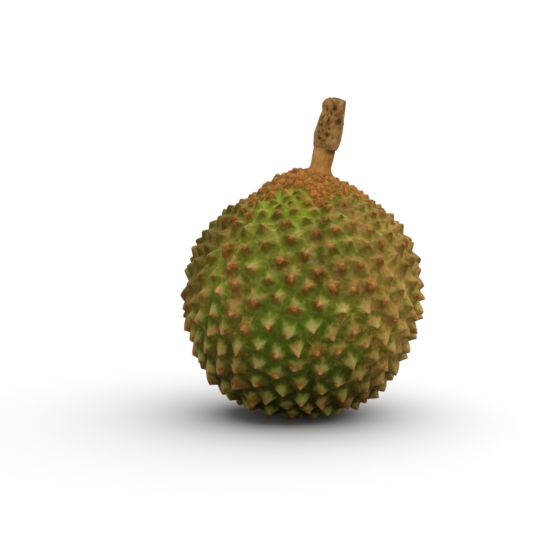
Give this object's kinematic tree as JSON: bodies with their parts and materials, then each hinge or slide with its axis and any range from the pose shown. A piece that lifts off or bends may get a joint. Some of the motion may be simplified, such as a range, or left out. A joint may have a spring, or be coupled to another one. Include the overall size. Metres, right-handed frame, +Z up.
{
  "type": "durian",
  "caption": "Whole ripe durian standing on its base: a near-round husk covered in pyramid spines, with a woody stalk leaning from its crown.",
  "frame": {"origin": "middle of the small flat style scar under the fruit, on the surface that the fruit rests on", "axes": "+Z up from the scar towards the stalk, +X towards the side that the crown and the stalk lean to, -Y towards the front, where one suture runs down the husk"},
  "size_m": [0.2026, 0.2015, 0.2618],
  "materials": {
    "husk": "matte fibrous rind, olive green with tan and orange-brown spine tips",
    "stalk": "matte corky bark, grey-brown above and orange-brown at the neck"
  },
  "bodies": {
    "root": {"husk": "husk", "stalk": "stalk"}
  },
  "joints": []
}
